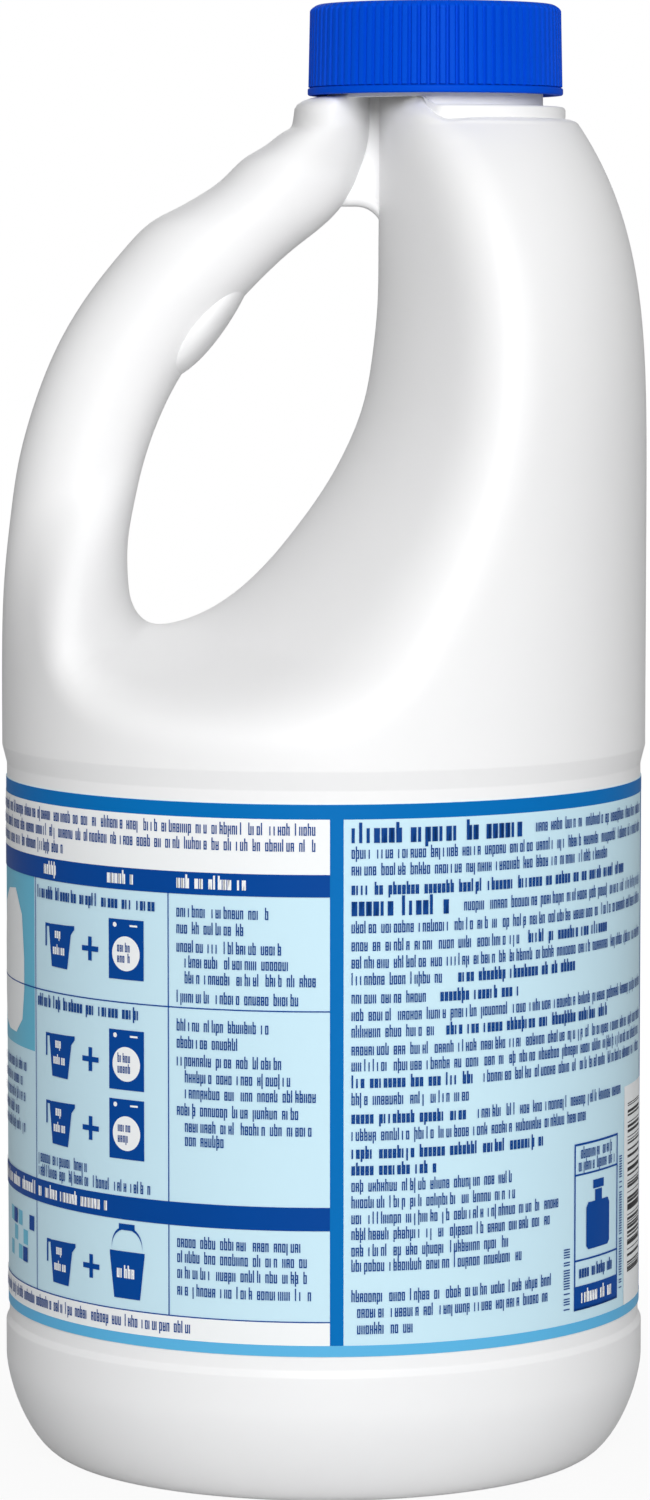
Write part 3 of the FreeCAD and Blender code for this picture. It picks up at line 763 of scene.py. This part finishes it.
def textLine(left, right, height, tall, seed, weight=0.095):
    # words of random length from narrow letters: a left stem, mostly a right one, and bars that join the two
    # at the top, the middle or the foot
    chance = np.random.default_rng(seed)
    pitch = tall * (letters["pitch"] + letters["pitchByWeight"] * weight)
    count = max(int((right - left) / pitch), 2)
    place = left + pitch * np.arange(count)
    letter = ~np.isin(np.arange(count), np.cumsum(chance.integers(3, 10, count)))
    paired = letter & (chance.random(count) < letters["pairChance"])
    line = tall * weight
    wide = pitch * letters["face"] - line
    half = tall * letters["half"]
    low = height - half - (chance.random(count) < letters["tailChance"]) * tall * letters["tail"]
    high = height + half + (chance.random(count) < letters["riseChance"]) * tall * letters["rise"]
    base, top, middle = (np.full(count, value) for value in (height - half, height + half, height))

    def bars(first, last, foot, head, kept):
        return np.stack([first, last, foot, head, foot, head], axis=-1)[kept]

    def joins(foot, head, share):
        return bars(place + line, place + wide, foot, head, paired & (chance.random(count) < share))

    return np.concatenate([
        bars(place, place + line, low, high, letter),
        bars(place + wide, place + wide + line, base, top, paired),
        joins(top - line, top, letters["topChance"]),
        joins(base, base + line, letters["footChance"]),
        joins(middle - line / 2, middle + line / 2, letters["middleChance"]),
    ])


def sideText(middle, low, high, wide, seed):
    # letters that lie on their side: short bars, one above the other
    chance = np.random.default_rng(seed)
    foot = np.arange(low, high, letters["sidePitch"])
    foot = foot[chance.random(len(foot)) < letters["sideChance"]]
    head = foot + letters["sideTall"]
    left, right = np.full(len(foot), middle - wide), np.full(len(foot), middle + wide)
    return np.stack([left, right, foot, head, foot, head], axis=-1)


def textRows(rows, tall, seed, weight=0.095):
    return np.concatenate([
        textLine(left, right, height, tall, seed + number, weight)
        for number, (left, right, height) in enumerate(rows)
    ])


def printInk(name, shapes, layer):
    slices = np.concatenate(shapes)
    radius = (label["radius"] + label["inkStep"] * layer) * mm
    left, right = slices[:, 0] / label["radius"], slices[:, 1] / label["radius"]
    angle = np.stack([left, right, right, left], axis=-1)
    z = slices[:, [2, 4, 5, 3]] * mm
    points = np.stack([radius * np.sin(angle), -radius * np.cos(angle), z], axis=-1)
    quads = np.arange(4 * len(slices)).reshape(-1, 4)
    piece = makePiece(name, [(points, quads)], merge=1e-7, outward=False)
    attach(piece, "bottle")
    return piece


# Layout of the print: a table on the left of the front, a page of small text on the right, and a plain panel
# on the back
table = {
    "left": -81.0,
    "icons": -56.5,
    "words": -25.2,
    "right": 0.96,
    "stripe": 3.09,
    "page": 75.0,
    "rows": (96.7, 78.85, 48.1),
    "lowRow": (44.4, 30.0),
}
washers = (82.5, 65.0, 54.0)           # heights at which the icons of washing machines and jugs stand
jugs = (82.9, 65.3, 54.4, 32.0)
circle = 2 * math.pi * label["radius"]
panelLeft, panelRight = table["page"] + 9, circle + table["left"] - 9
panelMiddle = (panelLeft + panelRight) / 2

midBlue = printInk("printMidBlue", [
    oblong(-circle / 2, circle / 2, 108.8, 111.1),
    oblong(table["right"], table["stripe"], 26.3, 108.8),
    oblong(table["page"], table["page"] + 2.2, 26.3, 108.8),
    oblong(table["left"] - 2.2, table["left"], 26.3, 108.8),
    oblong(panelLeft, panelRight, 34, 101),
], 1)
lightBlue = printInk("printLightBlue", [
    oblong(-circle / 2, circle / 2, 24.55, 26.3),
    disc(panelMiddle, 67, 52, 0.42),
], 2)
cyan = printInk("printCyan", [
    oblong(table["left"], table["icons"] - 0.6, 68.5, 96.7),
    tile(-70.8, 39.2), tile(-65.4, 39.2), tile(-68.1, 36.4), tile(-62.7, 36.4), tile(-70.8, 33.6),
    tile(-65.4, 33.6),
], 1)
white = printInk("printWhite", [
    oblong(table["left"], table["right"], 100.2, 108.8),
    oblong(table["left"], table["right"], 26.3, 30.0),
    oblong(62.4, table["page"], 26.3, 62.0),
    area([-78, -75, -71, -66, -62.5, -61.5], [76, 71.5, 70.5, 70.5, 73, 78], [84, 91, 93.5, 94, 90, 83]),
    disc(panelMiddle, 67, 45, 0.36),
], 3)
darkBlue = printInk("printDarkBlue", [
    oblong(table["left"], table["right"], table["rows"][0], 100.2),
    oblong(table["left"], table["right"], table["lowRow"][0], table["rows"][2]),
    oblong(table["left"], table["right"], table["rows"][1] - 0.1, table["rows"][1] + 0.1),
    oblong(table["left"], table["right"], table["lowRow"][1] - 0.1, table["lowRow"][1] + 0.1),
    oblong(table["icons"] - 0.1, table["icons"] + 0.1, 30, 96.7),
    oblong(table["words"] - 0.1, table["words"] + 0.1, 30, 96.7),
    cupShape(-53.0, 82.9), plusShape(-40.9, 86.8), oblong(-36.7, -29.7, 82.5, 92.0),
    cupShape(-53.0, 65.3), plusShape(-40.9, 69.2), oblong(-36.7, -29.7, 65.0, 74.5),
    cupShape(-53.0, 54.4), plusShape(-40.9, 58.2), oblong(-36.7, -29.7, 54.0, 63.5),
    cupShape(-53.0, 32.0), plusShape(-40.9, 36.1), bucketShape(-36.7, 31.8),
    frameLine(45.3, 59.3, 28.1, 55.0, 0.35),
    oblong(45.3, 59.3, 49.8, 50.1), oblong(45.3, 59.3, 36.0, 36.3), oblong(45.3, 59.3, 28.1, 32.0),
    area([48.6, 49.2, 55.4, 56.0], [38.2, 37.6, 37.6, 38.2], [44.4, 45.2, 45.2, 44.4]),
    oblong(51.2, 53.4, 45.2, 47.0), oblong(50.6, 54.0, 47.2, 48.6),
    oblong(-59.6, -57.6, 39.2, 41.6), tile(-68.1, 39.2), tile(-62.7, 33.6),
], 4)

wordRows = [
    (-23.7, -8.4, 93.8), (-23.7, -12.4, 91.2), (-23.7, -5.9, 88.3), (-22.3, -3.9, 85.9), (-22.3, -0.6, 83.4),
    (-23.7, -3.8, 80.4), (-23.7, -8.4, 75.9), (-23.7, -12.4, 73.2), (-23.7, -5.9, 70.4), (-22.3, -3.9, 67.8),
    (-22.3, -0.6, 65.3), (-23.7, -3.4, 62.6), (-22.3, -1.4, 60.0), (-22.3, -15.0, 57.8), (-23.7, -3.0, 41.7),
    (-23.7, -1.9, 39.3), (-23.7, -2.4, 36.8), (-23.7, -1.2, 34.1), (-80, -0.9, 107.0), (-80, -0.9, 104.5),
    (-80, -47.5, 102.0), (-55.6, -41.0, 51.7), (-55.6, -28.0, 49.5), (-80, -21.0, 28.1),
    (-79, -60.0, 65.5), (-79, -62.0, 63.0), (-79, -60.5, 60.5), (-79, -64.0, 58.0), (-79, -61.0, 55.5),
]
pageRows = [
    (36, 73, 106.4), (4.3, 73, 103.4), (4.3, 55, 100.8), (22.5, 73, 94.8), (4.3, 73, 91.8), (4.3, 33, 89.0),
    (4.3, 73, 86.3), (4.3, 20, 83.7), (4.3, 17, 80.8), (4.3, 73, 78.1), (4.3, 18, 75.5), (4.3, 73, 72.7),
    (4.3, 73, 70.2), (26, 73, 67.6), (4.3, 23.6, 64.9), (25, 61, 62.0), (4.3, 50, 59.3), (4.3, 31.8, 51.3),
    (4.3, 32.6, 48.7), (4.3, 41.7, 46.2), (4.3, 40.0, 43.7), (4.3, 30.9, 41.1), (4.3, 33.8, 38.7),
    (4.3, 40.6, 33.9), (5.2, 39.5, 31.4), (5.2, 14.5, 28.8), (47, 57.6, 53.2), (46.4, 58.4, 51.2),
]
boldRows = [
    (-55.6, -27.0, 94.4), (-55.6, -29.5, 77.0), (4.3, 62, 97.8), (34.5, 56, 89.0), (21.5, 46, 83.7),
    (18.5, 33, 80.8), (19.5, 55, 75.5), (4.3, 24.5, 67.6), (4.3, 23.5, 62.0), (4.3, 38.4, 56.5),
    (4.3, 18.2, 53.9), (46.6, 57.8, 34.0),
]
words = printInk("printWords", [
    textRows(wordRows, 2.05, 10), textRows(pageRows, 2.05, 60), textRows(boldRows, 2.15, 110, 0.13),
    sideText(43.4, 28.6, 38.5, 0.75, 7), sideText(60.6, 29.5, 51.0, 0.6, 8),
    textRows([(-34.9, -31.8, low + gap) for low in washers for gap in (4.9, 3.2)], 1.6, 190, 0.11),
    textLine(4.3, 34, 106.3, 3.4, 5, 0.15), textLine(4.3, 21, 94.9, 3.3, 6, 0.15),
    textRows([(panelMiddle - 26, panelMiddle + 26, 60 + 4 * i) for i in range(3)], 3.0, 170, 0.12),
], 6)
headRows = [(-53.4, -49.0, 98.4), (-37.0, -31.5, 98.4), (-23.7, -12.0, 98.4), (-80, -37.0, 46.2)]
paleWords = printInk("printPaleWords", [
    textRows(headRows, 2.3, 140, 0.14), textRows([(47.2, 57.4, 30.0)], 2.4, 150, 0.14),
    *(disc(-33.2, low + 4.1, 2.75) for low in washers),
    *(np.concatenate([disc(-35.4, low + 8.6, 0.38), oblong(-32.4, -30.9, low + 8.4, low + 8.7)])
      for low in washers),
    *(textRows([(-50.0, -48.0, low + 5.3), (-50.6, -46.9, low + 2.7)], 1.7, 160, 0.12) for low in jugs),
    textRows([(-35.2, -31.2, 35.8)], 2.2, 166, 0.12),
], 5)
barField = {"left": 64.3, "right": 73.6, "low": 30.3, "high": 59.2}
chance = np.random.default_rng(3)
barLow = barField["low"] + np.cumsum(chance.choice([0.35, 0.55, 0.8, 1.1], 70))
barLow = barLow[barLow < barField["high"]]
barTall = chance.choice([0.16, 0.3, 0.45], len(barLow))
bars = printInk("printBars", [
    oblong(barField["left"], barField["right"], low, low + tall) for low, tall in zip(barLow, barTall)
], 4)
print("print made")


# Materials

def newGroup(name, inputs, outputs):
    group = bpy.data.node_groups.new(name, "ShaderNodeTree")
    for title, kind, value in inputs:
        group.interface.new_socket(title, in_out="INPUT", socket_type=kind).default_value = value
    for title, kind in outputs:
        group.interface.new_socket(title, in_out="OUTPUT", socket_type=kind)
    return group, group.nodes.new("NodeGroupInput"), group.nodes.new("NodeGroupOutput")


def mouldDetail():
    # fine skin of a moulded surface: a value that varies slowly over the piece, and a normal with small waves
    number = "NodeSocketFloat"
    group, entry, leave = newGroup(
        "mouldDetail",
        [("Scale", number, 60.0), ("Strength", number, 0.05), ("Grain", number, 900.0)],
        [("Value", number), ("Normal", "NodeSocketVector")],
    )
    place = group.nodes.new("ShaderNodeTexCoord")
    slow = group.nodes.new("ShaderNodeTexNoise")
    fine = group.nodes.new("ShaderNodeTexNoise")
    mixed = group.nodes.new("ShaderNodeMath")
    bump = group.nodes.new("ShaderNodeBump")
    slow.inputs["Detail"].default_value = 3.0
    fine.inputs["Detail"].default_value = 2.0
    mixed.operation = "MULTIPLY_ADD"
    mixed.inputs[1].default_value = 0.25
    bump.inputs["Distance"].default_value = 0.0004
    link = group.links.new
    link(place.outputs["Object"], slow.inputs["Vector"])
    link(place.outputs["Object"], fine.inputs["Vector"])
    link(entry.outputs["Scale"], slow.inputs["Scale"])
    link(entry.outputs["Grain"], fine.inputs["Scale"])
    link(fine.outputs["Fac"], mixed.inputs[0])
    link(slow.outputs["Fac"], mixed.inputs[2])
    link(mixed.outputs[0], bump.inputs["Height"])
    link(entry.outputs["Strength"], bump.inputs["Strength"])
    link(slow.outputs["Fac"], leave.inputs["Value"])
    link(bump.outputs["Normal"], leave.inputs["Normal"])
    return group


detailGroup = mouldDetail()


def toLinear(color):
    # screen values 0-255 to the scene's linear light
    share = np.asarray(color, float) / 255
    return tuple(np.where(share <= 0.04045, share / 12.92, ((share + 0.055) / 1.055) ** 2.4)) + (1.0,)


def makeMaterial(name, look):
    # colour and roughness swing between two values with the moulded skin's slow noise
    material = bpy.data.materials.new(name)
    material.use_nodes = True
    nodes, link = material.node_tree.nodes, material.node_tree.links.new
    surface = nodes["Principled BSDF"]
    detail = nodes.new("ShaderNodeGroup")
    detail.node_tree = detailGroup
    detail.inputs["Scale"].default_value = look.get("scale", 60.0)
    detail.inputs["Grain"].default_value = look.get("grain", 900.0)
    detail.inputs["Strength"].default_value = look.get("bump", 0.05)
    tone = nodes.new("ShaderNodeMix")
    tone.data_type = "RGBA"
    tone.inputs[6].default_value = toLinear(look["color"])
    tone.inputs[7].default_value = toLinear(look.get("second", look["color"]))
    gloss = nodes.new("ShaderNodeMapRange")
    gloss.inputs["From Min"].default_value = 0.3
    gloss.inputs["From Max"].default_value = 0.7
    gloss.inputs["To Min"].default_value = look["roughness"] - 0.03
    gloss.inputs["To Max"].default_value = look["roughness"] + 0.04
    link(detail.outputs["Value"], tone.inputs[0])
    link(detail.outputs["Value"], gloss.inputs["Value"])
    link(tone.outputs[2], surface.inputs["Base Color"])
    link(gloss.outputs["Result"], surface.inputs["Roughness"])
    link(detail.outputs["Normal"], surface.inputs["Normal"])
    surface.inputs["Specular IOR Level"].default_value = look.get("shine", 0.5)
    return material


def inkLook(color, second, shine):
    return {"color": color, "second": second, "roughness": 0.4, "bump": 0.02, "shine": shine}


looks = {
    "whitePlastic": {
        "color": (249, 249, 249), "second": (246, 246, 247), "roughness": 0.42, "scale": 40, "shine": 0.35,
    },
    "bluePlastic": {
        "color": (0, 79, 216), "second": (0, 74, 209), "roughness": 0.48, "grain": 1400, "shine": 0.03,
    },
    "foam": {
        "color": (236, 236, 230), "second": (226, 226, 220), "roughness": 0.85, "bump": 0.4, "grain": 2500,
    },
    "film": inkLook((208, 239, 251), (204, 236, 250), 0.3),
    "inkWhite": inkLook((250, 252, 253), (247, 250, 251), 0.3),
    "inkMidBlue": inkLook((0, 114, 190), (0, 110, 185), 0.08),
    "inkDarkBlue": inkLook((0, 72, 156), (0, 68, 150), 0.08),
    "inkLightBlue": inkLook((94, 186, 233), (90, 182, 230), 0.3),
    "inkCyan": inkLook((106, 194, 224), (100, 189, 220), 0.3),
    "inkWords": inkLook((20, 72, 144), (16, 66, 138), 0.08),
    "inkBars": inkLook((40, 40, 44), (34, 34, 38), 0.08),
}
materials = {name: makeMaterial(name, look) for name, look in looks.items()}
wearers = {
    "whitePlastic": (skin, neckPiece, webPiece, padPiece),
    "bluePlastic": (capPiece,),
    "foam": (linerPiece,),
    "film": (labelPiece,),
    "inkWhite": (white, paleWords), "inkMidBlue": (midBlue,), "inkDarkBlue": (darkBlue,),
    "inkLightBlue": (lightBlue,), "inkCyan": (cyan,), "inkWords": (words,), "inkBars": (bars,),
}
for name, pieces in wearers.items():
    for piece in pieces:
        piece.data.materials.append(materials[name])
print("materials made")


# Stage: a white floor and backdrop, a large soft light in front and above, weaker ones at the sides
stage = {
    "floorSize": 6.0,
    "floorGrey": 0.6,
    "floorBright": 0.93,       # share of plain white that the camera sees on the floor beside the bottle
    "shadowStart": 0.05,       # metres from the bottle's axis at which the floor starts to turn plain white
    "shadowReach": 0.22,       # and at which it is plain white
    "worldLight": 0.28,
    "aim": (0, 0, 0.12),       # point that all lamps face
}
lamps = {
    "frontLight": {"place": (0.15, -1.85, 0.9), "power": 28.2, "size": (0.9, 0.9)},
    "leftLight": {"place": (-1.3, -0.6, 0.6), "power": 1.0, "size": (0.6, 0.8)},
    "rightLight": {"place": (1.3, -0.6, 0.6), "power": 1.5, "size": (0.6, 0.8)},
    "backLight": {"place": (-0.1, 1.9, 0.9), "power": 2.5, "size": (0.9, 0.9)},
}


def makeStage(values):
    floorMesh = bpy.data.meshes.new("floor")
    half = values["floorSize"] / 2
    corners = [(-half, -half, 0), (half, -half, 0), (half, half, 0), (-half, half, 0)]
    floorMesh.from_pydata(corners, [], [(0, 1, 2, 3)])
    floor = bpy.data.objects.new("floor", floorMesh)
    bpy.context.scene.collection.objects.link(floor)
    paper = bpy.data.materials.new("paper")
    paper.use_nodes = True
    nodes, link = paper.node_tree.nodes, paper.node_tree.links.new
    diffuse = nodes["Principled BSDF"]
    grey = values["floorGrey"]
    diffuse.inputs["Base Color"].default_value = (grey, grey, grey, 1)
    diffuse.inputs["Roughness"].default_value = 0.9
    diffuse.inputs["Specular IOR Level"].default_value = 0.0
    bright = nodes.new("ShaderNodeEmission")
    rays = nodes.new("ShaderNodeLightPath")
    place = nodes.new("ShaderNodeTexCoord")
    reach = nodes.new("ShaderNodeVectorMath")
    reach.operation = "LENGTH"
    spread = nodes.new("ShaderNodeMapRange")
    spread.inputs["From Min"].default_value = values["shadowStart"]
    spread.inputs["From Max"].default_value = values["shadowReach"]
    spread.inputs["To Min"].default_value = values["floorBright"]
    spread.inputs["To Max"].default_value = 1.0
    share = nodes.new("ShaderNodeMath")
    share.operation = "MULTIPLY"
    mixed = nodes.new("ShaderNodeMixShader")
    link(place.outputs["Object"], reach.inputs[0])
    link(reach.outputs["Value"], spread.inputs["Value"])
    link(rays.outputs["Is Camera Ray"], share.inputs[0])
    link(spread.outputs["Result"], share.inputs[1])
    link(share.outputs[0], mixed.inputs[0])
    link(diffuse.outputs[0], mixed.inputs[1])
    link(bright.outputs[0], mixed.inputs[2])
    link(mixed.outputs[0], nodes["Material Output"].inputs["Surface"])
    floorMesh.materials.append(paper)

    world = bpy.data.worlds.new("world")
    world.use_nodes = True
    nodes, link = world.node_tree.nodes, world.node_tree.links.new
    dim = nodes["Background"]
    dim.inputs["Color"].default_value = (1, 1, 1, 1)
    dim.inputs["Strength"].default_value = values["worldLight"]
    backdrop = nodes.new("ShaderNodeBackground")
    backdrop.inputs["Color"].default_value = (1, 1, 1, 1)
    rays = nodes.new("ShaderNodeLightPath")
    mixed = nodes.new("ShaderNodeMixShader")
    link(rays.outputs["Is Camera Ray"], mixed.inputs[0])
    link(dim.outputs[0], mixed.inputs[1])
    link(backdrop.outputs[0], mixed.inputs[2])
    link(mixed.outputs[0], nodes["World Output"].inputs["Surface"])
    bpy.context.scene.world = world


def makeLamp(name, lamp, aim):
    data = bpy.data.lights.new(name, "AREA")
    data.shape = "RECTANGLE"
    data.size, data.size_y = lamp["size"]
    data.energy = lamp["power"]
    stand = bpy.data.objects.new(name, data)
    stand.location = lamp["place"]
    stand.rotation_euler = (Vector(aim) - Vector(lamp["place"])).to_track_quat("-Z", "Y").to_euler()
    bpy.context.scene.collection.objects.link(stand)


makeStage(stage)
for name, lamp in lamps.items():
    makeLamp(name, lamp, stage["aim"])
bpy.context.scene.view_settings.view_transform = "Standard"
print("stage made")
